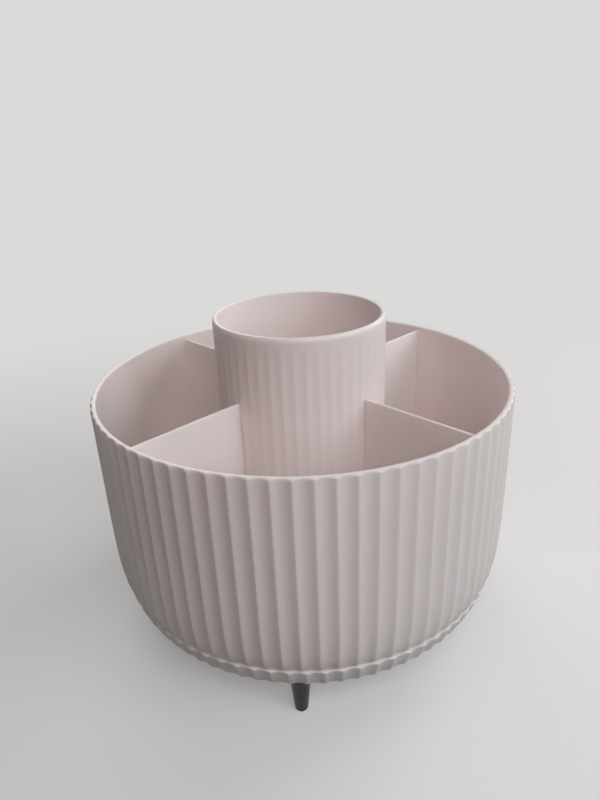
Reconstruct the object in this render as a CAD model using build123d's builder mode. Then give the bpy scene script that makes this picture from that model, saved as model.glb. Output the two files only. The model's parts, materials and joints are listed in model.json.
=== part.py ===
"""Rotating desk organizer.

A fluted bowl with four dividers and a taller centre cup turns on a ring of balls above a
fluted base that stands on four tapered feet. Millimetres, +Z up. The origin is on the desk,
under the axis that the bowl turns about, and the front of the organizer faces -Y.
"""
import os
from math import cos, pi, radians, sin

from build123d import *

# Outer form
ridge_radius = 95.0  # out to the flutes' ridges, where the wall is upright
rim_height = 120.5  # the bowl's rim above the desk
shoulder_height = 73.5  # the wall curves in below this height
toe_inset = 7.2  # how far it has come in at the underside of the base
toe_power = 4  # how late that curve bends
flute_count = 80
flute_depth = 0.8
edge_break = 0.6  # bevel along the fluted edges

# Base
foot_height = 20.5  # underside of the base above the desk
base_height = 10.2
base_plate = 2.6
base_wall = 2.4
base_turn = -3.4  # degrees that the base stands turned under the bowl
rib_count = 8
rib_thickness = 1.6
rib_height = 1.4

# Bowl
running_gap = 0.8  # open line between the base's rim and the bowl
bowl_wall = 2.6
bowl_floor = 2.6
floor_round = 8.0
rim_round = 0.9
toe_bevel = 1.3  # under the wall's lower edge, so that the base's upper edge shows as a ledge
divider_count = 4
divider_thickness = 1.4
divider_drop = 2.2  # divider tops below the rim
divider_round = 0.4
socket_height = 5.0  # low ring on the floor that holds the cup
socket_wall = 1.8
skirt_depth = 3.0  # ring under the bowl that hangs inside the base's wall
skirt_wall = 1.6
skirt_clearance = 0.6

# Cup
cup_rise = 29.5  # the cup's lip above the bowl's rim
cup_radius = 38.8
cup_wall = 2.2
cup_floor = 2.4
cup_floor_round = 4.0
cup_flute_count = 48
cup_flute_depth = 0.3
cup_band = 4.0  # plain band under the lip
cup_fade = 3.0  # the flutes die out over this height
lip_round = 1.0

# Ball ring
track_radius = 56.0
track_width = 9.0
ball_diameter = 5.0
ball_count = 8
ball_clearance = 0.3
race_thickness = 0.7
race_groove_depth = 1.0
groove_sides = 8  # the pressed groove is part of an eight-sided channel around the balls
cage_width = 10.0
cage_thickness = 1.8

# Pivot
post_radius = 6.0
turning_clearance = 0.2
bush_wall = 1.7
bush_flange = 2.6
bush_flange_thickness = 1.2
hub_plate = 2.0
hub_wall = 2.4
well_radius = 13.0
end_play = 0.5
washer_radius = 10.0
washer_thickness = 1.2
pivot_screw_radius = 1.9
pivot_screw_grip = 5.0  # length of screw inside the post
pivot_head_radius = 3.6
pivot_head_height = 2.0
cap_radius = 15.0
cap_thickness = 1.4
cap_gap = 0.5  # between the cap and the turning screw head

# Feet
foot_count = 4
foot_inset = 6.2  # from the base's lower edge in to the feet's axes
foot_top_radius = 4.7
foot_bottom_radius = 2.8
foot_bevel = 0.4
foot_seat = 0.8  # depth of the foot's seat in the base
pad_radius = 2.0
pad_thickness = 1.6
pad_proud = 0.8
foot_screw_radius = 1.5
foot_screw_length = 12.0
foot_head_radius = 2.8
foot_head_height = 1.6
screw_hole_clearance = 0.3

# Fits and cuts
seat_clearance = 0.1  # between a piece and the seat that holds it
cut_overrun = 1.0  # cuts run this far past the face that they open

# Directions, in degrees from +X
front_angle = 270
divider_angle = 45

# Heights of the sections that the fluted walls pass through, as shares of the wall's height
bowl_level_shares = (0, 0.18, 0.42, 0.7, 1)
base_level_shares = (0, 0.5, 1)

# Heights above the desk that follow from these sizes
base_rim = foot_height + base_height
plate_top = foot_height + base_plate
bowl_bottom = base_rim + running_gap
floor_top = bowl_bottom + bowl_floor
divider_top = rim_height - divider_drop
cup_top = rim_height + cup_rise
ball_level = (plate_top + bowl_bottom) / 2
cap_top = foot_height + cap_thickness
head_bottom = cap_top + cap_gap
washer_bottom = head_bottom + pivot_head_height
post_end = washer_bottom + washer_thickness
well_top = post_end + end_play
hub_top = well_top + hub_plate

# Radii that follow from these sizes
groove_radius = ball_diameter / 2 + ball_clearance
race_radius = groove_radius + race_thickness
bush_radius = post_radius + turning_clearance + bush_wall
socket_radius = cup_radius + seat_clearance
hub_radius = well_radius + hub_wall

# Heights of the races: their flanges lie on the moulded tracks, with the groove sunk between
race_face = ball_level - groove_radius + race_groove_depth
race_seat = race_face - race_thickness


def ridge_at(height):
    """Radius of the flutes' ridges: upright above the shoulder, curving in below it."""
    below = max(0, shoulder_height - height) / (shoulder_height - foot_height)
    return ridge_radius - toe_inset * below**toe_power


foot_circle = ridge_at(foot_height) - foot_inset
foot_places = PolarLocations(foot_circle, foot_count, front_angle + base_turn).local_locations


def fluted_face(height, radius, depth, count):
    """Face bounded by hollow flutes, one arc each, that meet in ridges at the given radius."""

    def point(distance, step):
        angle = 2 * pi * step / count
        return (distance * cos(angle), distance * sin(angle))

    with BuildSketch(Plane.XY.offset(height)) as face:
        with BuildLine():
            for flute in range(count):
                start = point(radius, flute - 1 / 2)
                middle = point(radius - depth, flute)
                end = point(radius, flute + 1 / 2)
                ThreePointArc(start, middle, end)
        make_face()
    return face.sketch


def wall_section(height, turn=0, inset=0):
    """The fluted outline at a height, sized to the outer form there, less an inset."""
    size_share = (ridge_at(height) - inset) / ridge_radius
    return Location((0, 0, height), (0, 0, turn)) * scale(wall_outline, size_share, mode=Mode.PRIVATE)


def wall_sections(bottom, top, shares, turn=0):
    """Outlines of a fluted wall at shares of the way between two heights."""
    return [wall_section(bottom + share * (top - bottom), turn) for share in shares]


def groove_section(radius):
    """Cross-section of a channel around the balls, its flat sides at the given radius from their centres."""
    with BuildSketch() as section:
        RegularPolygon(radius, groove_sides, major_radius=False, rotation=180 / groove_sides)
    return section.sketch


os.makedirs("parts", exist_ok=True)

# The outline that the bowl's and the base's walls are drawn from
wall_outline = fluted_face(0, ridge_radius, flute_depth, flute_count)

# Moulded track: a ring with a channel for the race, as it stands on the base
with BuildPart() as track:
    with BuildSketch(Plane.XZ):
        with Locations((track_radius, plate_top)):
            Rectangle(track_width, race_seat - plate_top, align=(Align.CENTER, Align.MIN))
        with Locations((track_radius, ball_level)):
            add(groove_section(race_radius + seat_clearance), mode=Mode.SUBTRACT)
    revolve(axis=Axis.Z)

# Base: a shallow fluted dish with a hub for the pivot, a ball track, ribs and seats for the feet
base_sections = wall_sections(foot_height, base_rim - edge_break, base_level_shares, base_turn)
base_edge = wall_section(base_rim, base_turn, edge_break)
with BuildPart() as base_dish:
    loft(base_sections)
    loft([base_sections[-1], base_edge], ruled=True)
    with BuildSketch(Plane.XZ):
        with BuildLine():
            Polyline(
                (0, plate_top),
                (ridge_at(plate_top) - base_wall, plate_top),
                (ridge_at(base_rim) - base_wall, base_rim),
                (ridge_at(base_rim) - base_wall, base_rim + cut_overrun),
                (0, base_rim + cut_overrun),
                close=True,
            )
        make_face()
    revolve(axis=Axis.Z, mode=Mode.SUBTRACT)
    with BuildSketch(Plane.XY.offset(plate_top)):
        Circle(hub_radius)
    extrude(amount=hub_top - plate_top)
    add(track.part)
    rib_start = hub_radius - hub_wall / 2
    rib_end = track_radius - track_width / 2
    with BuildSketch(Plane.XY.offset(plate_top)):
        with PolarLocations(0, rib_count):
            with Locations((rib_start, 0)):
                Rectangle(rib_end - rib_start, rib_thickness, align=(Align.MIN, Align.CENTER))
    extrude(amount=rib_height)
    with BuildSketch(Plane.XY.offset(foot_height)):
        Circle(well_radius)
    extrude(amount=well_top - foot_height, mode=Mode.SUBTRACT)
    with BuildSketch(Plane.XY.offset(foot_height)):
        Circle(cap_radius + seat_clearance)
    extrude(amount=cap_thickness, mode=Mode.SUBTRACT)
    with BuildSketch(Plane.XY.offset(well_top)):
        Circle(bush_radius + seat_clearance)
    extrude(amount=hub_plate, mode=Mode.SUBTRACT)
    with BuildSketch(Plane.XY.offset(foot_height)):
        with Locations(foot_places):
            Circle(foot_top_radius + seat_clearance)
    extrude(amount=foot_seat, mode=Mode.SUBTRACT)
    with BuildSketch(Plane.XY.offset(foot_height)):
        with Locations(foot_places):
            Circle(foot_screw_radius + screw_hole_clearance)
    extrude(amount=base_plate, mode=Mode.SUBTRACT)
base_dish.part.label = "base_dish"
export_step(base_dish.part, "parts/base_dish.step")

# Feet: tapered pegs with a blind hole for the screw above and a seat for the pad below
for number, place in enumerate(foot_places, start=1):
    with BuildPart() as foot:
        with Locations(place):
            with Locations((0, 0, pad_proud)):
                Cone(
                    foot_bottom_radius,
                    foot_top_radius,
                    foot_height + foot_seat - pad_proud,
                    align=(Align.CENTER, Align.CENTER, Align.MIN),
                )
        chamfer(foot.edges().group_by(Axis.Z)[0], foot_bevel)
        with BuildSketch(Plane.XY.offset(pad_proud)):
            with Locations(place):
                Circle(pad_radius + seat_clearance)
        extrude(amount=pad_thickness - pad_proud, mode=Mode.SUBTRACT)
        with BuildSketch(Plane.XY.offset(plate_top - foot_screw_length - seat_clearance)):
            with Locations(place):
                Circle(foot_screw_radius + seat_clearance)
        extrude(amount=foot_screw_length, mode=Mode.SUBTRACT)
    foot.part.label = f"foot_{number}"
    export_step(foot.part, f"parts/foot_{number}.step")

# Pads: soft discs let into the feet
for number, place in enumerate(foot_places, start=1):
    with BuildPart() as foot_pad:
        with BuildSketch():
            with Locations(place):
                Circle(pad_radius)
        extrude(amount=pad_thickness)
    foot_pad.part.label = f"foot_pad_{number}"
    export_step(foot_pad.part, f"parts/foot_pad_{number}.step")

# Foot screws: down through the base's plate, one into each foot
with BuildPart() as foot_screws:
    with BuildSketch(Plane.XY.offset(plate_top)):
        with Locations(foot_places):
            Circle(foot_head_radius)
    extrude(amount=foot_head_height)
    with BuildSketch(Plane.XY.offset(plate_top)):
        with Locations(foot_places):
            Circle(foot_screw_radius)
    extrude(amount=-foot_screw_length)
foot_screws.part.label = "foot_screws"
export_step(foot_screws.part, "parts/foot_screws.step")

# Lower race: a pressed steel ring, two flat flanges with a groove between them
with BuildPart() as lower_race:
    with BuildSketch(Plane.XZ):
        with Locations((track_radius, ball_level)):
            add(groove_section(race_radius))
        with Locations((track_radius, race_face)):
            Rectangle(track_width, race_radius + ball_level - race_face, align=(Align.CENTER, Align.MIN),
                      mode=Mode.SUBTRACT)
        with Locations((track_radius, race_seat)):
            Rectangle(track_width, race_thickness, align=(Align.CENTER, Align.MIN))
        with Locations((track_radius, ball_level)):
            add(groove_section(groove_radius), mode=Mode.SUBTRACT)
    revolve(axis=Axis.Z)
lower_race.part.label = "lower_race"
export_step(lower_race.part, "parts/lower_race.step")

# Upper race: the same ring turned over, under the bowl
with BuildPart() as upper_race:
    mirror(lower_race.part, about=Plane.XY.offset(ball_level))
upper_race.part.label = "upper_race"
export_step(upper_race.part, "parts/upper_race.step")

# Ball cage: a flat ring with a round pocket for each ball
with BuildPart() as ball_cage:
    with BuildSketch(Plane.XY.offset(ball_level - cage_thickness / 2)):
        Circle(track_radius + cage_width / 2)
        Circle(track_radius - cage_width / 2, mode=Mode.SUBTRACT)
        with PolarLocations(track_radius, ball_count):
            Circle(groove_radius, mode=Mode.SUBTRACT)
    extrude(amount=cage_thickness)
ball_cage.part.label = "ball_cage"
export_step(ball_cage.part, "parts/ball_cage.step")

# Balls
with BuildPart() as bearing_balls:
    with Locations((0, 0, ball_level)):
        with PolarLocations(track_radius, ball_count):
            Sphere(ball_diameter / 2)
bearing_balls.part.label = "bearing_balls"
export_step(bearing_balls.part, "parts/bearing_balls.step")

# Pivot bush: a flanged sleeve in the base's hub
with BuildPart() as pivot_bush:
    with BuildSketch(Plane.XY.offset(well_top)):
        Circle(bush_radius)
    extrude(amount=hub_plate)
    with BuildSketch(Plane.XY.offset(hub_top)):
        Circle(bush_radius + bush_flange)
    extrude(amount=bush_flange_thickness)
    with BuildSketch(Plane.XY.offset(well_top)):
        Circle(post_radius + turning_clearance)
    extrude(amount=hub_plate + bush_flange_thickness, mode=Mode.SUBTRACT)
pivot_bush.part.label = "pivot_bush"
export_step(pivot_bush.part, "parts/pivot_bush.step")

# Cap that closes the screw well from below
with BuildPart() as hub_cap:
    with BuildSketch(Plane.XY.offset(foot_height)):
        Circle(cap_radius)
    extrude(amount=cap_thickness)
hub_cap.part.label = "hub_cap"
export_step(hub_cap.part, "parts/hub_cap.step")

# Dividers: upright slabs with rounded tops, from under the cup out into the bowl's wall
with BuildPart() as dividers:
    divider_start = socket_radius - divider_thickness
    with BuildSketch(Plane.XY.offset(floor_top)):
        with PolarLocations(divider_start, divider_count, divider_angle):
            Rectangle(ridge_radius - divider_start, divider_thickness, align=(Align.MIN, Align.CENTER))
    extrude(amount=divider_top - floor_top)
    top_edges = dividers.edges().group_by(Axis.Z)[-1]
    fillet(top_edges.filter_by(lambda edge: edge.length > divider_thickness * 2), divider_round)

# Room inside the bowl: everything above the floor but the dividers and the cup's socket
with BuildPart() as room:
    middle_height = (shoulder_height + floor_top) / 2
    with BuildSketch(Plane.XZ):
        with BuildLine():
            Line((0, floor_top), (ridge_at(floor_top) - bowl_wall, floor_top))
            ThreePointArc(
                (ridge_at(floor_top) - bowl_wall, floor_top),
                (ridge_at(middle_height) - bowl_wall, middle_height),
                (ridge_at(shoulder_height) - bowl_wall, shoulder_height),
            )
            Polyline(
                (ridge_at(shoulder_height) - bowl_wall, shoulder_height),
                (ridge_at(rim_height) - bowl_wall, rim_height + cut_overrun),
                (0, rim_height + cut_overrun),
                (0, floor_top),
            )
        make_face()
    revolve(axis=Axis.Z)
    fillet(room.edges().group_by(Axis.Z)[0], floor_round)
    add(dividers.part, mode=Mode.SUBTRACT)
    with BuildSketch(Plane.XY.offset(floor_top)):
        Circle(socket_radius + socket_wall)
    extrude(amount=socket_height, mode=Mode.SUBTRACT)
    with BuildSketch(Plane.XY.offset(floor_top)):
        Circle(socket_radius)
    extrude(amount=rim_height - floor_top)

# Bowl: the fluted wall with its floor and dividers, and the post that it turns on
bowl_sections = wall_sections(bowl_bottom + toe_bevel, shoulder_height, bowl_level_shares)
toe_sections = [wall_section(bowl_bottom, 0, toe_bevel), bowl_sections[0]]
rim_sections = [wall_section(rim_height - edge_break), wall_section(rim_height, 0, edge_break)]
with BuildPart() as bowl:
    loft(toe_sections, ruled=True)
    loft(bowl_sections)
    extrude(bowl_sections[-1], amount=rim_height - edge_break - shoulder_height)
    loft(rim_sections, ruled=True)
    add(room.part, mode=Mode.SUBTRACT)
    rim_inside = bowl.edges().group_by(Axis.Z)[-1].sort_by(SortBy.LENGTH)[-1]
    fillet(rim_inside, rim_round)
    mirror(track.part, about=Plane.XY.offset(ball_level))
    skirt_bottom = bowl_bottom - skirt_depth
    skirt_radius = ridge_at(skirt_bottom) - base_wall - skirt_clearance
    with BuildSketch(Plane.XY.offset(skirt_bottom)):
        Circle(skirt_radius)
        Circle(skirt_radius - skirt_wall, mode=Mode.SUBTRACT)
    extrude(amount=skirt_depth)
    with BuildSketch(Plane.XY.offset(post_end)):
        Circle(post_radius)
    extrude(amount=bowl_bottom - post_end)
    with BuildSketch(Plane.XY.offset(post_end)):
        Circle(pivot_screw_radius + seat_clearance)
    extrude(amount=pivot_screw_grip + seat_clearance, mode=Mode.SUBTRACT)
bowl.part.label = "bowl"
export_step(bowl.part, "parts/bowl.step")

# Cup: fluted outside up to a plain band below its rounded lip, smooth inside
with BuildPart() as cup:
    band_bottom = cup_top - cup_band
    flute_top = band_bottom - cup_fade
    fluted_end = fluted_face(flute_top, cup_radius, cup_flute_depth, cup_flute_count)
    extrude(fluted_end, amount=floor_top - flute_top)
    loft([fluted_end, fluted_face(band_bottom, cup_radius, 0, cup_flute_count)], ruled=True)
    with BuildSketch(Plane.XY.offset(band_bottom)):
        Circle(cup_radius)
    extrude(amount=cup_band)
    with BuildSketch(Plane.XY.offset(floor_top + cup_floor)):
        Circle(cup_radius - cup_wall)
    extrude(amount=cup_top - floor_top, mode=Mode.SUBTRACT)
    fillet(cup.edges().group_by(Axis.Z)[-1], lip_round)
    inside_floor = cup.edges().filter_by_position(Axis.Z, floor_top + cup_floor, floor_top + cup_floor)
    fillet(inside_floor, cup_floor_round)
cup.part.label = "cup"
export_step(cup.part, "parts/cup.step")

# Washer under the post, wider than the bush, so that the bowl can't lift off
with BuildPart() as pivot_washer:
    with BuildSketch(Plane.XY.offset(washer_bottom)):
        Circle(washer_radius)
        Circle(pivot_screw_radius + seat_clearance, mode=Mode.SUBTRACT)
    extrude(amount=washer_thickness)
pivot_washer.part.label = "pivot_washer"
export_step(pivot_washer.part, "parts/pivot_washer.step")

# Pivot screw: up through the washer into the post
with BuildPart() as pivot_screw:
    with BuildSketch(Plane.XY.offset(head_bottom)):
        Circle(pivot_head_radius)
    extrude(amount=pivot_head_height)
    with BuildSketch(Plane.XY.offset(washer_bottom)):
        Circle(pivot_screw_radius)
    extrude(amount=washer_thickness + pivot_screw_grip)
pivot_screw.part.label = "pivot_screw"
export_step(pivot_screw.part, "parts/pivot_screw.step")
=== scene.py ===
# %% [markdown]
# # A rotating desk organizer
# The object is a pale blush pink organizer for pens and small desk things. A fluted bowl with four
# dividers and a taller centre cup turns on a hidden ring of balls above a fluted base on dark feet.
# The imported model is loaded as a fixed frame: it gives every piece its place and says what turns.
# This lesson makes the fluted pieces again as fine surfaces, gives every piece a finish, and sets up
# a floor, lights and a camera.

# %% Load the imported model
import json

import bpy
import numpy as np
from mathutils import Matrix, Vector


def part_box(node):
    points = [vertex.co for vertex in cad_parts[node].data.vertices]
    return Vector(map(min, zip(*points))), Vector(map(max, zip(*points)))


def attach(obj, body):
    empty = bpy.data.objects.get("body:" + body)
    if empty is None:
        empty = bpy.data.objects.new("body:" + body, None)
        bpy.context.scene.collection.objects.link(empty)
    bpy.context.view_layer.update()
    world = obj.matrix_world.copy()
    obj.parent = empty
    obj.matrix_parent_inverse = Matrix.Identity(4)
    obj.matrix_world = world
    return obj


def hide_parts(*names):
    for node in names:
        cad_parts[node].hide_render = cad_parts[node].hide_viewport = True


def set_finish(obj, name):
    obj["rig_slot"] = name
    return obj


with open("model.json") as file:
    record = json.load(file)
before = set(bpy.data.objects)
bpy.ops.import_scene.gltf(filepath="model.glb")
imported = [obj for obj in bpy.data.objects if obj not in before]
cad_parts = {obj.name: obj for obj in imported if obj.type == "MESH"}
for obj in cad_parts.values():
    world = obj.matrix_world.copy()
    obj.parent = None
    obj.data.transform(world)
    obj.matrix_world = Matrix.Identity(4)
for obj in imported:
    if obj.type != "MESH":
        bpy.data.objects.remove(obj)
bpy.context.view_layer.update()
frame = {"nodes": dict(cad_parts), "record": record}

mm = 0.001


# %% [markdown]
# ## Measure before modelling
# New surfaces have to fit the pieces that stay, so the heights and radii are read from the packed
# nodes. A size that can't be read off a box, such as a wall's thickness, is a named value instead.

# %% Read the main sizes from the frame


def reach(node):
    """Largest distance of a node's points from the turning axis, in metres."""
    vertices = frame["nodes"][node].data.vertices
    places = np.empty(3 * len(vertices), np.float32)
    vertices.foreach_get("co", places)
    return float(np.hypot(places[0::3], places[1::3]).max())


def span(node):
    """Lowest and highest point of a node."""
    low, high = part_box(node)
    return low.z, high.z


ridge_radius = reach("bowl")
rim_height = span("bowl")[1]
base_bottom, base_rim = span("base_dish")
cup_radius = reach("cup")
floor_top, cup_top = span("cup")
print(f"bowl {2 * ridge_radius / mm:.1f} mm across")
print(f"rim at {rim_height / mm:.1f} mm, lip at {cup_top / mm:.1f} mm")

# %% [markdown]
# ## The outer line
# Seen from the side, the bowl and the base share one line: upright at the top, and curving in
# towards the feet. A fourth power keeps the wall straight for a long way and then bends it late,
# as the photograph shows. One formula serves both pieces, so their edges meet across the gap.

# %% Outer line
shoulder_rise = 53.0 * mm
shoulder_height = base_bottom + shoulder_rise
toe_inset = 7.2 * mm
toe_power = 4
running_gap = 0.8 * mm
bowl_bottom = base_rim + running_gap


def ridge_at(height):
    """Radius of the ridges: R - inset * (drop below the shoulder / whole drop) ** power."""
    drop = np.clip(shoulder_height - np.asarray(height), 0, None) / shoulder_rise
    return ridge_radius - toe_inset * drop**toe_power


print(f"radius at the rim {ridge_at(rim_height) / mm:.1f} mm")
print(f"radius at the underside {ridge_at(base_bottom) / mm:.1f} mm")

# %% [markdown]
# ## The flutes
# Hollow flutes run up the wall side by side and meet in narrow ridges. A mould leaves a ridge slightly
# rounded, and a perfectly sharp one would flicker in a render. The flutes are therefore a formula of
# the angle alone, and the columns of points lie closer near the ridges, where it bends most.

# %% Flutes round a wall
flute_count = 80
flute_depth = 0.8 * mm
ridge_softness = 0.25
flute_columns = 12


def flutes(count, softness):
    """Angles round the axis and how deep the flutes are there, from 0 on a ridge to 1 in a hollow.

    Within a flute u runs from -1 to 1, and the hollow is 1 - u * u, a shallow trough. Its root of
    squares with a small softness rounds the ridge. u = sin(t) packs the columns near the ridges.
    """
    u = np.sin(np.pi / 2 * np.linspace(-1, 1, flute_columns, endpoint=False))
    soft = np.sqrt((1 - u * u) ** 2 + softness**2) - softness
    hollow = soft / (np.sqrt(1 + softness**2) - softness)
    angle = (np.arange(count)[:, None] + u[None, :] / 2) * 2 * np.pi / count
    return angle.ravel(), np.tile(hollow, count)


wall_angle, wall_hollow = flutes(flute_count, ridge_softness)
print("columns of points round the bowl:", len(wall_angle))

# %% [markdown]
# ## Profiles
# Nearly every piece here was moulded or turned, so a profile carried round the axis describes it. A
# profile is a list of points, each with a radius, a height and a flute share, which says how far the
# flutes cut in there. Straight runs and rounds are enough to draw all of them. On a round the flute
# share follows the cosine, so the round gets tighter in a hollow and never bulges out over it.

# %% Runs and rounds of a profile
down, outward, up, inward = -90, 0, 90, 180


def line(start, end, steps=2):
    """Straight run of profile points (radius, height, flute share) from start to end."""
    return np.linspace(start, end, steps)


def arc(centre, radius, start, end, share=(0, 0), steps=7, rise=None):
    """Round of profile points: centre + (radius cos a, rise sin a), for a from start to end in degrees.

    The flute share goes from its first to its second value as the cosine does. Without a rise the
    round is circular.
    """
    a = np.radians(np.linspace(start, end, steps))
    out = np.cos(a)
    height = (radius if rise is None else rise) * np.sin(a)
    first, last = share
    fluted = first + (last - first) * (out - out[0]) / (out[-1] - out[0])
    return np.column_stack([centre[0] + radius * out, centre[1] + height, fluted])


def wall_line(radius_at, low, high, share, steps):
    """Profile points of a wall that follows a radius formula between two heights."""
    height = np.linspace(low, high, steps)
    return np.column_stack([radius_at(height), height, np.full(steps, share)])


def corners(*points):
    """Profile of straight runs through points (radius, height), without flutes."""
    return np.array([(radius, height, 0.0) for radius, height in points])


print("a quarter round has", len(arc((0, 0), mm, outward, up)), "profile points")

# %% [markdown]
# Where a leaning wall turns in to a flat bottom, a quarter round would leave a crease. The round has
# to start at the wall's own lean, so its centre and its ends are worked out from the wall's formula.

# %% Rounds at the foot of a leaning wall


def lean_at(radius_at, height):
    """How far a wall leans out from upright at a height, in degrees: the arc tangent of its slope."""
    return float(np.degrees(np.arctan((radius_at(height + mm) - radius_at(height - mm)) / (2 * mm))))


def lower_round(radius_at, bottom, radius):
    """Centre, lean and upper end of a round that turns a wall in to a flat bottom without a crease."""
    lean = lean_at(radius_at, bottom + radius)
    end = bottom + radius * (1 - np.sin(np.radians(lean)))
    return (float(radius_at(end)) - radius * np.cos(np.radians(lean)), bottom + radius), lean, end


print(f"the wall leans {lean_at(ridge_at, bowl_bottom):.1f} degrees at the bowl's lower edge")

# %% [markdown]
# ## From a profile to a mesh
# A profile and a list of angles make a grid of points, worked out as outer sums of whole arrays with
# no loop over points. Screw and Array modifiers could turn a profile too, but they know nothing of
# flutes. Rows that lie on the axis shrink to one point, so that a pole is closed with triangles.

# %% Rings of points into a mesh
same_point = 1e-9


def ring_mesh(name, points, closed=False, capped=True):
    """Mesh of a grid of points whose rows are rings. A row in one place becomes one point.

    With closed the last row joins the first. Otherwise an open end row gets a cap, if capped.
    """
    rows, columns = points.shape[:2]
    index = np.arange(rows * columns).reshape(rows, columns)
    single = np.ptp(points, axis=1).max(axis=1) < same_point
    index[single] = index[single, :1]
    lower = index if closed else index[:-1]
    upper = np.roll(index, -1, axis=0) if closed else index[1:]
    quads = np.stack([lower, np.roll(lower, -1, axis=1), np.roll(upper, -1, axis=1), upper], axis=-1)
    used, quads = np.unique(quads, return_inverse=True)
    quads = quads.reshape(-1, 4)
    starts = quads[:, 0] == quads[:, 1]
    ends = quads[:, 2] == quads[:, 3]
    faces = quads[~(starts | ends)].tolist()
    faces += quads[starts][:, [0, 2, 3]].tolist() + quads[ends][:, [0, 1, 2]].tolist()
    if capped and not closed and not single[0]:
        faces.append(list(range(columns))[::-1])
    if capped and not closed and not single[-1]:
        faces.append(list(range(len(used) - columns, len(used))))
    mesh = bpy.data.meshes.new(name)
    mesh.from_pydata(points.reshape(-1, 3)[used].tolist(), [], faces)
    mesh.validate()
    return mesh


def turned(name, profile, angle, hollow=0.0, depth=0.0, turn=0.0, closed=False, capped=True):
    """Profile carried round the axis: radius(row) - depth * share(row) * hollow(column)."""
    radius, height, share = profile.T
    out = radius[:, None] - depth * share[:, None] * (np.zeros_like(angle) + hollow)
    level = np.broadcast_to(height[:, None], out.shape)
    points = np.stack([out * np.cos(angle + turn), out * np.sin(angle + turn), level], axis=-1)
    return ring_mesh(name, points, closed, capped)


def round_angles(count):
    """Evenly spaced angles round the axis."""
    return np.linspace(0, 2 * np.pi, count, endpoint=False)


plain_columns = 240
plain_angle = round_angles(plain_columns)
print("columns of points round a plain piece:", len(plain_angle))

# %% [markdown]
# Each new piece rides on a body of the frame, so that it turns with it, takes its finish from one of
# the record's material slots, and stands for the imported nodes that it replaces. Faces are shaded
# smooth, and edges that bend by more than the crease angle stay sharp.

# %% Put a piece in its place
crease_degrees = 30
pieces = []


def place(mesh, body, slot, *nodes):
    """Makes an object of a mesh, on a body, with a slot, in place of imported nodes."""
    piece = bpy.data.objects.new(mesh.name, mesh)
    bpy.context.scene.collection.objects.link(piece)
    mesh.shade_smooth()
    mesh.set_sharp_from_angle(angle=np.radians(crease_degrees))
    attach(piece, body)
    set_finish(piece, slot)
    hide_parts(*nodes)
    pieces.append(piece)
    mesh.calc_loop_triangles()
    print(f"{piece.name}: {len(mesh.loop_triangles)} triangles on {body}")


print("edges stay sharp from", crease_degrees, "degrees")

# %% [markdown]
# ## The bowl
# The bowl is one moulding: a fluted wall with a thin rounded rim, a plain inside that rolls into the
# floor, and a low ring that holds the cup. The profile starts under the floor's middle, runs out and
# up the wall, over the rim and down the inside. On the rim the flutes fade but don't vanish, so its
# outer edge is scalloped and its inner edge is a true circle. Over its last few millimetres the wall
# draws in a little more, which leaves the base's upper edge in view as a thin ledge. A ring of points
# close to each edge keeps the flat faces evenly shaded.

# %% Bowl shell
bowl_wall = 2.6 * mm
rim_outer_round = 0.8 * mm
rim_outer_rise = 1.1 * mm
rim_inner_round = 0.7 * mm
rim_share = 0.3
flat_margin = 1.5 * mm
tuck_depth = 1.0 * mm
tuck_height = 6.0 * mm
lower_edge_round = 0.9 * mm
floor_round = 8.0 * mm


def outside_at(height):
    """Radius of the bowl's ridges: the outer line, less a parabola that draws the lower edge in."""
    drop = np.clip(1 - (np.asarray(height) - bowl_bottom) / tuck_height, 0, None)
    return ridge_at(height) - tuck_depth * drop**2


def inside_at(height):
    """Radius of the bowl's inner face: the outer line less the wall."""
    return ridge_at(height) - bowl_wall


edge_centre, edge_lean, edge_end = lower_round(outside_at, bowl_bottom, lower_edge_round)
roll_centre, roll_lean, roll_end = lower_round(inside_at, floor_top, floor_round)
rim_outside = (ridge_radius - rim_outer_round, rim_height - rim_outer_rise)
rim_inside = (inside_at(rim_height) + rim_inner_round, rim_height - rim_inner_round)
wall_profile = np.vstack([
    line((0, bowl_bottom, 0), (edge_centre[0] - flat_margin, bowl_bottom, 0)),
    arc(edge_centre, lower_edge_round, down, -edge_lean, (0, 1), steps=9),
    wall_line(outside_at, edge_end, rim_outside[1], share=1, steps=40)[1:],
    arc(rim_outside, rim_outer_round, outward, up, (1, rim_share), steps=10, rise=rim_outer_rise)[1:],
    arc(rim_inside, rim_inner_round, up, inward),
    wall_line(inside_at, rim_inside[1], roll_end, share=0, steps=12)[1:],
    arc(roll_centre, floor_round, -roll_lean, down, steps=10)[1:],
])
print("profile points along the bowl's wall:", len(wall_profile))

# %% Ring on the floor for the cup, and the whole shell
seat_clearance = 0.1 * mm
socket_wall = 1.8 * mm
socket_height = 5.0 * mm
socket_round = 0.6 * mm
socket_foot_round = 0.8 * mm
socket_inside = cup_radius + seat_clearance
socket_outside = socket_inside + socket_wall
socket_top = floor_top + socket_height
socket_foot = (socket_outside + socket_foot_round, floor_top + socket_foot_round)
socket_profile = np.vstack([
    arc(socket_foot, socket_foot_round, down, -inward, steps=4),
    arc((socket_outside - socket_round, socket_top - socket_round), socket_round, outward, up, steps=4),
    arc((socket_inside + socket_round, socket_top - socket_round), socket_round, up, inward, steps=4),
    line((socket_inside, floor_top, 0), (0, floor_top, 0)),
])
bowl_profile = np.vstack([wall_profile, socket_profile])
bowl_mesh = turned("bowl_shell", bowl_profile, wall_angle, wall_hollow, flute_depth)
place(bowl_mesh, "bowl", "blush_plastic", "bowl")

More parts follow.
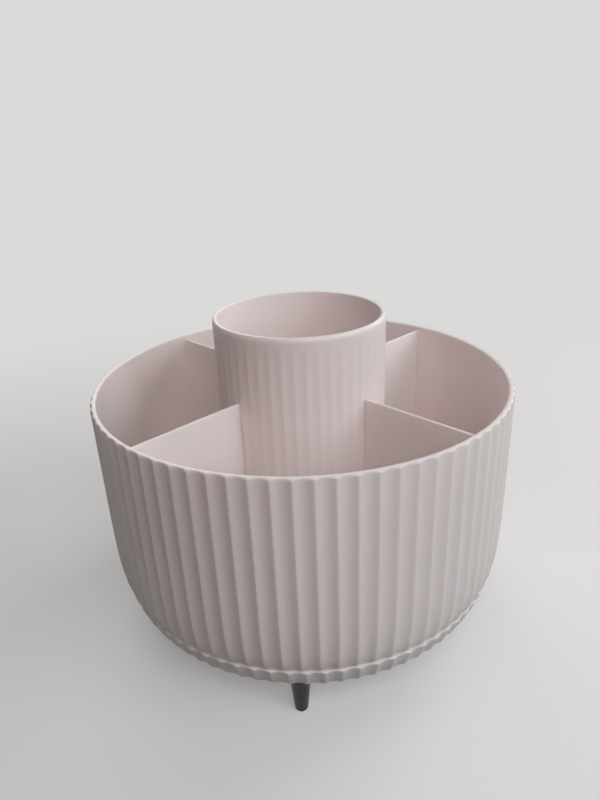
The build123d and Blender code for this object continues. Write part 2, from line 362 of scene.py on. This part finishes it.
# %% [markdown]
# ## The dividers
# Four thin walls run from the cup out to the bowl's wall. They belong to the same moulding, so they
# flow into it: each has a small round where it meets the wall and the floor, and a rounded top. The
# cross-section is a tall loop, carried outwards along the radius. Near the wall and the floor the
# thickness grows as the outline of a round does. The ends are sunk a little into the cup and the wall.

# %% Dividers
divider_count = 4
first_divider = np.radians(45)
divider_half = 0.7 * mm
divider_round = 0.5 * mm
below_rim = 2.2 * mm
blend_round = 1.2 * mm
divider_sunk = 0.8 * mm
sunk_in_cup = 0.3 * mm
low_power = 2
wall_power = 3
divider_top = rim_height - below_rim
divider_foot = floor_top - divider_sunk
divider_start = cup_radius - sunk_in_cup


def blend(distance):
    """Extra thickness of a round of radius r at a distance d: r - sqrt(r ** 2 - (r - d) ** 2)."""
    d = np.clip(distance, 0, blend_round)
    return blend_round - np.sqrt(blend_round**2 - (blend_round - d) ** 2)


def carried_out(name, out, side, height, turn):
    """Mesh of loops (side, height) that stand at distances out along a radius turned by an angle."""
    points = np.stack(np.broadcast_arrays(
        out * np.cos(turn) - side * np.sin(turn),
        out * np.sin(turn) + side * np.cos(turn),
        height,
    ), axis=-1)
    return ring_mesh(name, points)


def divider_mesh(name, turn, stations=30, rises=22, over_steps=9):
    """Loop across the divider (side, height), carried from the cup to inside the bowl's wall.

    Heights go as t ** 2, which packs them at the floor, and stations as t ** 3, which packs them at
    the wall, for t from 0 to 1. The half thickness grows by the rounds at the wall and the floor.
    """
    shoulder = divider_top - divider_round
    rise = divider_foot + (shoulder - divider_foot) * np.linspace(0, 1, rises) ** low_power
    over = np.radians(np.linspace(outward, inward, over_steps))[1:-1]
    crown = np.sign(np.cos(over)) * (divider_half - divider_round) + divider_round * np.cos(over)
    across = np.concatenate([np.full(rises, divider_half), crown, np.full(rises, -divider_half)])
    height = np.concatenate([rise, shoulder + divider_round * np.sin(over), rise[::-1]])
    wall = inside_at(height)[None, :]
    share = np.linspace(1, 0, stations)[:, None] ** wall_power
    out = wall + divider_sunk - (wall + divider_sunk - divider_start) * share
    thicker = blend(wall - out) + blend(height - floor_top)[None, :]
    side = across * (1 + thicker / divider_half)
    return carried_out(name, out, side, height, turn)


divider_angles = first_divider + round_angles(divider_count)
for number, turn in enumerate(divider_angles, start=1):
    place(divider_mesh(f"divider_{number}", turn), "bowl", "blush_plastic", "bowl")

# %% [markdown]
# ## Under the bowl
# Below the floor the moulding carries a post that turns in the base, a track that holds the upper
# ball race, and a skirt that hangs inside the base's wall and keeps dust out. They are hidden in use
# and show only when the bowl is lifted off. Each is a ring with a simple profile of straight runs.

# %% Post
post_radius = 6.0 * mm
screw_bore = 2.0 * mm
screw_bore_depth = 5.1 * mm
sunk_in_bowl = 0.4 * mm
post_end = span("bowl")[0]
screw_bore_end = post_end + screw_bore_depth
joint_level = bowl_bottom + sunk_in_bowl
post_profile = corners(
    (0, screw_bore_end), (screw_bore, screw_bore_end), (screw_bore, post_end), (post_radius, post_end),
    (post_radius, joint_level), (0, joint_level),
)
place(turned("bowl_post", post_profile, plain_angle), "bowl", "blush_plastic", "bowl")

# %% Track and skirt
race_thickness = 0.7 * mm
track_width = 9.0 * mm
groove_half = 2.6 * mm
groove_floor_half = 1.5 * mm
upper_race_low, upper_race_high = span("upper_race")
track_outside = reach("upper_race")
track_inside = track_outside - track_width
track_middle = (track_inside + track_outside) / 2
upper_track_face = upper_race_low + race_thickness
upper_groove = upper_race_high + seat_clearance
track_profile = corners(
    (track_inside, joint_level), (track_inside, upper_track_face),
    (track_middle - groove_half, upper_track_face), (track_middle - groove_floor_half, upper_groove),
    (track_middle + groove_floor_half, upper_groove), (track_middle + groove_half, upper_track_face),
    (track_outside, upper_track_face), (track_outside, joint_level),
)
place(turned("bowl_track", track_profile, plain_angle, closed=True), "bowl", "blush_plastic", "bowl")

skirt_drop = 3.0 * mm
skirt_inset = 3.0 * mm
skirt_wall = 1.6 * mm
skirt_bottom = bowl_bottom - skirt_drop
skirt_outside = float(ridge_at(skirt_bottom)) - skirt_inset
skirt_inside = skirt_outside - skirt_wall
skirt_profile = corners(
    (skirt_inside, joint_level), (skirt_inside, skirt_bottom),
    (skirt_outside, skirt_bottom), (skirt_outside, joint_level),
)
place(turned("bowl_skirt", skirt_profile, plain_angle, closed=True), "bowl", "blush_plastic", "bowl")

# %% [markdown]
# ## The cup
# The cup stands in the ring on the bowl's floor and rises above the rim. Its flutes are shallower and
# softer than the bowl's, and they die out below a plain band under the rounded lip. A smooth step
# takes the flute share from 1 to 0 there, so each flute ends in a soft curve and not in a ledge.

# %% Cup wall
cup_flute_count = 48
cup_flute_depth = 0.2 * mm
cup_softness = 0.5
cup_band = 4.0 * mm
cup_fade = 5.0 * mm
cup_foot_round = 0.6 * mm
lip_outer_round = 1.2 * mm
lip_outer_rise = 2.4 * mm
gather_power = 0.4


def smooth_step(value):
    """0 below 0, 1 above 1, and 3 v^2 - 2 v^3 between."""
    v = np.clip(value, 0, 1)
    return v * v * (3 - 2 * v)


def cup_outside(low, high, steps):
    """Outer wall of the cup, its rows gathered near the lip, its flutes fading below the plain band."""
    height = low + (high - low) * np.linspace(0, 1, steps) ** gather_power
    share = smooth_step((cup_top - cup_band - height) / cup_fade)
    return np.column_stack([np.full(steps, cup_radius), height, share])


cup_foot = (cup_radius - cup_foot_round, floor_top + cup_foot_round)
lip_outside = (cup_radius - lip_outer_round, cup_top - lip_outer_rise)
cup_outer_profile = np.vstack([
    line((0, floor_top, 0), (cup_radius / 2, floor_top, 0)),
    arc(cup_foot, cup_foot_round, down, outward, (1, 1), steps=4)[:-1],
    cup_outside(cup_foot[1], lip_outside[1], steps=34),
    arc(lip_outside, lip_outer_round, outward, up, steps=10, rise=lip_outer_rise)[1:],
])
print("profile points up the cup:", len(cup_outer_profile))

# %% Cup inside, and the whole cup
cup_wall = 2.2 * mm
cup_floor = 2.4 * mm
cup_floor_round = 4.0 * mm
lip_inner_round = 0.6 * mm
cup_inside = cup_radius - cup_wall
cup_floor_top = floor_top + cup_floor
lip_inside = (cup_inside + lip_inner_round, cup_top - lip_inner_round)
cup_roll = (cup_inside - cup_floor_round, cup_floor_top + cup_floor_round)
cup_inner_profile = np.vstack([
    arc(lip_inside, lip_inner_round, up, inward),
    line((cup_inside, lip_inside[1], 0), (cup_inside, cup_roll[1], 0), steps=6)[1:],
    arc(cup_roll, cup_floor_round, outward, down, steps=9)[1:],
    line((cup_roll[0], cup_floor_top, 0), (0, cup_floor_top, 0))[1:],
])
cup_angle, cup_hollow = flutes(cup_flute_count, cup_softness)
cup_profile = np.vstack([cup_outer_profile, cup_inner_profile])
cup_mesh = turned("cup_shell", cup_profile, cup_angle, cup_hollow, cup_flute_depth)
place(cup_mesh, "bowl", "blush_plastic", "cup")

# %% [markdown]
# ## The base
# The base is a shallow dish that carries the bowl's outer line on down to the feet. Its flutes stand a
# little out of step with the bowl's, because the two turn against each other, and its upper edge
# catches the light as a thin bright line. Inside it has a hub, a ball track and stiffening ribs. The
# profile is a closed loop, since the hub is open for the pivot.

# %% Base dish
base_turn = np.radians(-3.4)
base_wall = 2.4 * mm
base_edge_round = 0.5 * mm
base_edge_share = 0.35
base_foot_round = 0.4 * mm
plate = 2.6 * mm
hub_outside = 15.4 * mm
well_radius = 13.0 * mm
bush_hole = 8.0 * mm
bush_flange = 1.2 * mm
plate_top = base_bottom + plate
well_top, bush_top = span("pivot_bush")
hub_top = bush_top - bush_flange
cap_seat = reach("hub_cap") + seat_clearance
cap_top = span("hub_cap")[1]
lower_race_low, lower_race_high = span("lower_race")
lower_track_face = lower_race_high - race_thickness
lower_groove = lower_race_low - seat_clearance
foot_edge_height = base_bottom + base_foot_round
foot_edge = (ridge_at(foot_edge_height) - base_foot_round, foot_edge_height)
upper_edge_height = base_rim - base_edge_round
upper_edge = (ridge_at(upper_edge_height) - base_edge_round, upper_edge_height)
base_outer_profile = np.vstack([
    line((cap_seat, base_bottom, 0), (foot_edge[0] - flat_margin, base_bottom, 0)),
    arc(foot_edge, base_foot_round, down, outward, (1, 1), steps=4),
    wall_line(ridge_at, foot_edge[1], upper_edge[1], share=1, steps=10)[1:],
    arc(upper_edge, base_edge_round, outward, up, (1, base_edge_share))[1:],
])
print("profile points up the base:", len(base_outer_profile))

# %% Base inside, and the whole base
base_inner_profile = corners(
    (ridge_at(base_rim) - base_wall, base_rim), (ridge_at(plate_top) - base_wall, plate_top),
    (track_outside, plate_top), (track_outside, lower_track_face),
    (track_middle + groove_half, lower_track_face), (track_middle + groove_floor_half, lower_groove),
    (track_middle - groove_floor_half, lower_groove), (track_middle - groove_half, lower_track_face),
    (track_inside, lower_track_face), (track_inside, plate_top),
    (hub_outside, plate_top), (hub_outside, hub_top), (bush_hole, hub_top), (bush_hole, well_top),
    (well_radius, well_top), (well_radius, cap_top), (cap_seat, cap_top),
)
base_profile = np.vstack([base_outer_profile, base_inner_profile])
base_mesh = turned("base_shell", base_profile, wall_angle, wall_hollow, flute_depth, base_turn,
                   closed=True)
place(base_mesh, "base", "blush_plastic", "base_dish")

# %% Ribs in the base
rib_count = 8
rib_half = 0.8 * mm
rib_height = 1.4 * mm
rib_sunk = 0.5 * mm
rib_top = plate_top + rib_height
rib_bottom = plate_top - rib_sunk
rib_out = np.array([hub_outside - rib_sunk, track_inside + rib_sunk])[:, None]
rib_side = np.array([rib_half, rib_half, -rib_half, -rib_half])
rib_level = np.array([rib_bottom, rib_top, rib_top, rib_bottom])
for number, turn in enumerate(round_angles(rib_count), start=1):
    rib_mesh = carried_out(f"base_rib_{number}", rib_out, rib_side, rib_level, turn)
    place(rib_mesh, "base", "blush_plastic", "base_dish")

# %% [markdown]
# ## The cap underneath
# A disc is pressed into the underside and hides the pivot's screw. It lies flush with the plate, so
# only its seam shows. A rounded edge makes that seam readable, and a shallow dish in its face sets
# it off from the plate.

# %% Cap
cap_radius = reach("hub_cap")
cap_bottom = span("hub_cap")[0]
cap_edge_round = 0.6 * mm
cap_dish = 0.4 * mm
dish_inside = 0.70 * cap_radius
dish_outside = 0.72 * cap_radius
dish_level = cap_bottom + cap_dish
cap_edge = (cap_radius - cap_edge_round, cap_bottom + cap_edge_round)
cap_profile = np.vstack([
    corners((0, dish_level), (dish_inside, dish_level), (dish_outside, cap_bottom)),
    arc(cap_edge, cap_edge_round, down, outward),
    corners((cap_radius, cap_top), (0, cap_top)),
])
place(turned("cap_disc", cap_profile, plain_angle), "base", "blush_plastic", "hub_cap")

# %% [markdown]
# ## Finishes
# Moulded plastic is never one flat colour: it clouds a little as it cools, its gloss wanders, and the
# tool's fine texture breaks up highlights. Each finish starts from one shader and adds noise to the
# colour, the roughness and a very fine bump. The noise reads Object coordinates, so it is fixed to the
# piece and turns with it. A value that is the same all over is set on the shader itself.

# %% How a finish is made


class Finish:
    """A node material with one Principled shader and Object coordinates, and short ways to wire it."""

    def __init__(self, name, **sockets):
        """New material, with values set straight on the shader's sockets."""
        self.material = bpy.data.materials.new(name)
        self.material.use_nodes = True
        self.nodes = self.material.node_tree.nodes
        self.links = self.material.node_tree.links
        self.shader = self.nodes["Principled BSDF"]
        self.coordinates = self.nodes.new("ShaderNodeTexCoord").outputs["Object"]
        for socket, value in sockets.items():
            self.shader.inputs[socket.replace("_", " ")].default_value = value

    def noise(self, size, detail):
        """Noise whose cells are about size metres across."""
        texture = self.nodes.new("ShaderNodeTexNoise")
        texture.inputs["Scale"].default_value = 1 / size
        texture.inputs["Detail"].default_value = detail
        self.links.new(self.coordinates, texture.inputs["Vector"])
        return texture.outputs["Fac"]

    def spread(self, factor, low, high):
        """A factor's usual range, stretched to run from low to high."""
        usual_low, usual_high = 0.3, 0.7
        stretch = self.nodes.new("ShaderNodeMapRange")
        sockets = ("From Min", "From Max", "To Min", "To Max")
        for socket, value in zip(sockets, (usual_low, usual_high, low, high)):
            stretch.inputs[socket].default_value = value
        self.links.new(factor, stretch.inputs["Value"])
        return stretch.outputs["Result"]

    def colours(self, factor, dark, light):
        """Base colour between two linear colours."""
        ramp = self.nodes.new("ShaderNodeValToRGB")
        for element, colour in zip(ramp.color_ramp.elements, (dark, light)):
            element.color = (*colour, 1)
        self.links.new(self.spread(factor, 0, 1), ramp.inputs["Fac"])
        self.links.new(ramp.outputs["Color"], self.shader.inputs["Base Color"])

    def roughness(self, factor, low, high):
        """Roughness between two values."""
        self.links.new(self.spread(factor, low, high), self.shader.inputs["Roughness"])

    def bump(self, factor, depth, strength=0.3):
        """Fine relief of a given depth in metres."""
        relief = self.nodes.new("ShaderNodeBump")
        relief.inputs["Strength"].default_value = strength
        relief.inputs["Distance"].default_value = depth
        self.links.new(factor, relief.inputs["Height"])
        self.links.new(relief.outputs["Normal"], self.shader.inputs["Normal"])


finishes = {}


def finish(slot, dark, light, cloud, rough, gloss, grain, depth, detail=3.0, **sockets):
    """Finish for a slot: colours on clouds, roughness on gloss patches and bump on grain.

    The sizes of clouds, patches and grain and the depth of the bump are in metres.
    """
    made = Finish(slot, **sockets)
    made.colours(made.noise(cloud, detail), dark, light)
    made.roughness(made.noise(gloss, detail), *rough)
    made.bump(made.noise(grain, detail), depth)
    finishes[slot] = made.material
    print("finish for", slot)


node_slots = {entry["node"]: entry["material_slot"] for entry in frame["record"]["subparts"]}
print("slots to finish:", sorted(set(node_slots.values())))

# %% [markdown]
# ### Blush plastic
# The bowl, the cup and the base are a pale pink plastic with a satin gloss. A thin wall of it lets some
# light through, which softens the shade in the flutes and warms it. Subsurface scattering over a few
# millimetres does that, with red light going furthest. The clouding is large and faint.

# %% Blush plastic
blush_colour = np.array((0.87, 0.782, 0.77))
blush_clouding = 0.012
blush_dark = tuple(blush_colour * (1 - blush_clouding))
blush_light = tuple(blush_colour * (1 + blush_clouding))
finish("blush_plastic", blush_dark, blush_light, cloud=60 * mm, rough=(0.33, 0.37), gloss=25 * mm,
       grain=0.7 * mm, depth=0.02 * mm, detail=0.0, IOR=1.5,
       Subsurface_Weight=0.35, Subsurface_Scale=3 * mm, Subsurface_Radius=(1.0, 0.75, 0.7))

# %% [markdown]
# ### Dark plastic, rubber, steel and white plastic
# The feet are satin black plastic and stand on matt rubber pads. The races, balls and screws are
# zinc-plated steel, whose grey wanders and which is duller in patches. The cage and the bush are
# a natural white bearing plastic. All are the same recipe with other values.

# %% Other finishes
finish("black_plastic", dark=(0.010, 0.0095, 0.009), light=(0.022, 0.021, 0.020),
       cloud=6 * mm, rough=(0.28, 0.42), gloss=3 * mm, grain=0.5 * mm, depth=0.02 * mm, IOR=1.5)
finish("pad_rubber", dark=(0.022, 0.022, 0.022), light=(0.045, 0.044, 0.043),
       cloud=2 * mm, rough=(0.7, 0.9), gloss=1 * mm, grain=0.3 * mm, depth=0.04 * mm, IOR=1.52)
finish("plated_steel", dark=(0.50, 0.51, 0.53), light=(0.66, 0.66, 0.67),
       cloud=5 * mm, rough=(0.22, 0.4), gloss=1.5 * mm, grain=0.2 * mm, depth=0.005 * mm, Metallic=1.0)
finish("white_acetal", dark=(0.78, 0.78, 0.75), light=(0.88, 0.88, 0.86),
       cloud=8 * mm, rough=(0.35, 0.5), gloss=4 * mm, grain=0.6 * mm, depth=0.015 * mm, IOR=1.48)

# %% Put the finishes on
for node, packed in frame["nodes"].items():
    for material_slot in packed.material_slots:
        material_slot.material = finishes[node_slots[node]]
for piece in pieces:
    piece.data.materials.append(finishes[piece["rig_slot"]])
print("finished", len(frame["nodes"]), "nodes and", len(pieces), "new pieces")

# %% [markdown]
# ## The stage
# The object stands on a pale floor that sweeps up into a pale backdrop all round, as in a photo
# studio, so no horizon shows from any side. It is turned from a profile like the other pieces. From
# below it is see-through, so that the underside can be looked at.

# %% Floor and backdrop
stage_radius = 1.6
stage_round = 0.7
stage_top = 1.9
stage_columns = 96
stage_profile = np.vstack([
    line((stage_radius, stage_top, 0), (stage_radius, stage_round, 0)),
    arc((stage_radius - stage_round, stage_round), stage_round, outward, down, steps=16)[1:],
    line((stage_radius - stage_round, 0, 0), (0, 0, 0))[1:],
])
stage_mesh = turned("floor", stage_profile, round_angles(stage_columns), capped=False)
stage_mesh.shade_smooth()
floor = bpy.data.objects.new("floor", stage_mesh)
bpy.context.scene.collection.objects.link(floor)
print("stage of radius", stage_radius, "m")

# %% [markdown]
# Near the object the floor is painted, and takes its shadow. Further out the paint gives way to an
# even pale tone that the lamps don't change. Light that the floor throws back is kept low, so that the
# lower wall stays in soft shade. Light Path tells which rays are looking at the floor, straight or in
# a reflection, and which only gather light.

# %% Floor paint
near_colour = (0.86, 0.86, 0.85)
near_light = (0.88, 0.88, 0.87)
far_colour = (0.70, 0.70, 0.69, 1)
bounce_colour = (0.1, 0.1, 0.1, 1)
even_from = 0.18
even_beyond = 0.60
even_near = 0.3
floor_clouds = {"size": 0.3, "detail": 0.0}
floor_patches = {"size": 0.05, "detail": 3.0}
floor_rough = (0.6, 0.7)
floor_paint = Finish("floor_paint", IOR=1.45)
floor_paint.colours(floor_paint.noise(**floor_clouds), near_colour, near_light)
floor_paint.roughness(floor_paint.noise(**floor_patches), *floor_rough)


def add_node(tree, kind, output, settings=(), **sockets):
    """A new node in a tree: settings, then sockets by name or number, and one output back."""
    node = tree.nodes.new(kind)
    for setting, value in dict(settings).items():
        setattr(node, setting, value)
    for socket, value in sockets.items():
        entry = node.inputs[int(socket[1:]) if socket[0] == "_" else socket.replace("_", " ")]
        if isinstance(value, bpy.types.NodeSocket):
            tree.links.new(value, entry)
        else:
            entry.default_value = value
    return node.outputs[output]


paint = floor_paint.material.node_tree
painted = floor_paint.shader.outputs["BSDF"]
distance = add_node(paint, "ShaderNodeVectorMath", "Value", {"operation": "LENGTH"},
                    _0=floor_paint.coordinates)
away = add_node(paint, "ShaderNodeMapRange", "Result", {"interpolation_type": "SMOOTHSTEP"},
                Value=distance, From_Min=even_from, From_Max=even_beyond, To_Min=even_near)
even = add_node(paint, "ShaderNodeEmission", "Emission", Color=far_colour)
seen = add_node(paint, "ShaderNodeMixShader", "Shader", _0=away, _1=painted, _2=even)
bounce = add_node(paint, "ShaderNodeBsdfDiffuse", "BSDF", Color=bounce_colour)
print("floor paint gives way between", even_from, "and", even_beyond, "m from the axis")

# %% Which rays see the paint


def looking(tree):
    """1 for rays that look at a thing, straight, in a reflection or through glass, and 0 for others."""
    rays = tree.nodes.new("ShaderNodeLightPath").outputs
    any_of = rays["Is Camera Ray"]
    for other in ("Is Glossy Ray", "Is Transmission Ray"):
        any_of = add_node(tree, "ShaderNodeMath", "Value", {"operation": "MAXIMUM"},
                          _0=any_of, _1=rays[other])
    return any_of


above = add_node(paint, "ShaderNodeMixShader", "Shader", _0=looking(paint), _1=bounce, _2=seen)
behind = add_node(paint, "ShaderNodeNewGeometry", "Backfacing")
clear = add_node(paint, "ShaderNodeBsdfTransparent", "BSDF")
surface = add_node(paint, "ShaderNodeMixShader", "Shader", _0=behind, _1=above, _2=clear)
paint.links.new(surface, paint.nodes["Material Output"].inputs["Surface"])
stage_mesh.materials.append(floor_paint.material)
print("nodes in the floor paint:", len(paint.nodes))

# %% [markdown]
# ## Light
# Four square softboxes stand on a sphere round the object. The key light is in front and above, a
# cooler one stands to the right like a window, and one behind on the right lights the insides and
# draws the rims. A weaker one behind on the left opens up the side that the others leave in shade.
# All are large, so shadows and highlights are soft, and bright enough that a colour shows about as
# it is written. A faint even room light keeps the deepest shade from going black. To a camera the
# room looks as pale as the backdrop.

# %% Softboxes
light_distance = 1.0
light_side = 0.6
aim_share = 2 / 3
light_aim = Vector((0, 0, rim_height * aim_share))


def softbox(name, azimuth, elevation, power, colour):
    """Square area lamp on a sphere round the object, facing it. Azimuth 0 is in front, 90 to the right.

    Its direction is (sin a cos e, -cos a cos e, sin e). Angles are in degrees, the power in watts.
    """
    lamp = bpy.data.lights.new(name, "AREA")
    lamp.size = light_side
    lamp.energy = power
    lamp.color = colour
    holder = bpy.data.objects.new(name, lamp)
    bpy.context.scene.collection.objects.link(holder)
    a, e = np.radians(azimuth), np.radians(elevation)
    toward = Vector((np.sin(a) * np.cos(e), -np.cos(a) * np.cos(e), np.sin(e)))
    holder.location = light_aim + toward * light_distance
    holder.rotation_euler = toward.to_track_quat("Z", "Y").to_euler()
    print(f"{name}: {power} W from {azimuth} degrees round and {elevation} up")


softbox("key_light", azimuth=12, elevation=45, power=4.0, colour=(1.0, 0.945, 0.93))
softbox("window_light", azimuth=60, elevation=28, power=3.6, colour=(0.87, 0.96, 1.0))
softbox("back_light", azimuth=125, elevation=28, power=4.0, colour=(1.0, 0.96, 0.95))
softbox("fill_light", azimuth=200, elevation=28, power=2.4, colour=(1.0, 0.97, 0.96))

# %% Room light
room_colour = (0.97, 0.98, 1.0, 1)
room_strength = 0.02
room = bpy.data.worlds.new("soft_room")
bpy.context.scene.world = room
room.use_nodes = True
sky = room.node_tree
dim = add_node(sky, "ShaderNodeBackground", "Background", Color=room_colour, Strength=room_strength)
pale = add_node(sky, "ShaderNodeBackground", "Background", Color=far_colour)
shown = add_node(sky, "ShaderNodeMixShader", "Shader", _0=looking(sky), _1=dim, _2=pale)
sky.links.new(shown, sky.nodes["World Output"].inputs["Surface"])
print("room light", room_strength)

# %% [markdown]
# ## Camera
# The photograph was taken from close by, a little above the cup and tilted down, with a phone's wide
# lens and a slight roll. Its place and angles were fitted to the outlines of the rim, the lip and the
# base. The lens is written as a focal length in pixels of the image, which a sensor size turns into
# Blender's millimetres. The sensor's width stands for the longer side of the image, its height.

# %% Camera at the photograph's viewing angle
camera_right = 2.7 * mm
camera_back = 267.5 * mm
camera_above_base = 204.5 * mm
pitch = np.radians(23.83)
yaw = np.radians(-0.82)
roll = np.radians(-2.48)
lens_pixels = 614.2
image_height = 800
sensor = 36.0
nearest = 10 * mm

eye = Vector((camera_right, -camera_back, base_bottom + camera_above_base))
forward = Vector((np.sin(yaw) * np.cos(pitch), np.cos(yaw) * np.cos(pitch), -np.sin(pitch)))
level = Vector((np.cos(yaw), -np.sin(yaw), 0))
upright = level.cross(forward)
rightward = level * np.cos(roll) + upright * np.sin(roll)
upward = upright * np.cos(roll) - level * np.sin(roll)
camera_data = bpy.data.cameras.new("camera")
camera_data.sensor_width = sensor
camera_data.lens = lens_pixels / image_height * sensor
camera_data.clip_start = nearest
camera = bpy.data.objects.new("camera", camera_data)
bpy.context.scene.collection.objects.link(camera)
axes = Matrix((rightward, upward, -forward)).transposed().to_4x4()
camera.matrix_world = Matrix.Translation(eye) @ axes
bpy.context.scene.camera = camera
bpy.context.scene.view_settings.view_transform = "Standard"
print(f"camera {eye.length / mm:.0f} mm from the origin, lens {camera_data.lens:.1f} mm")
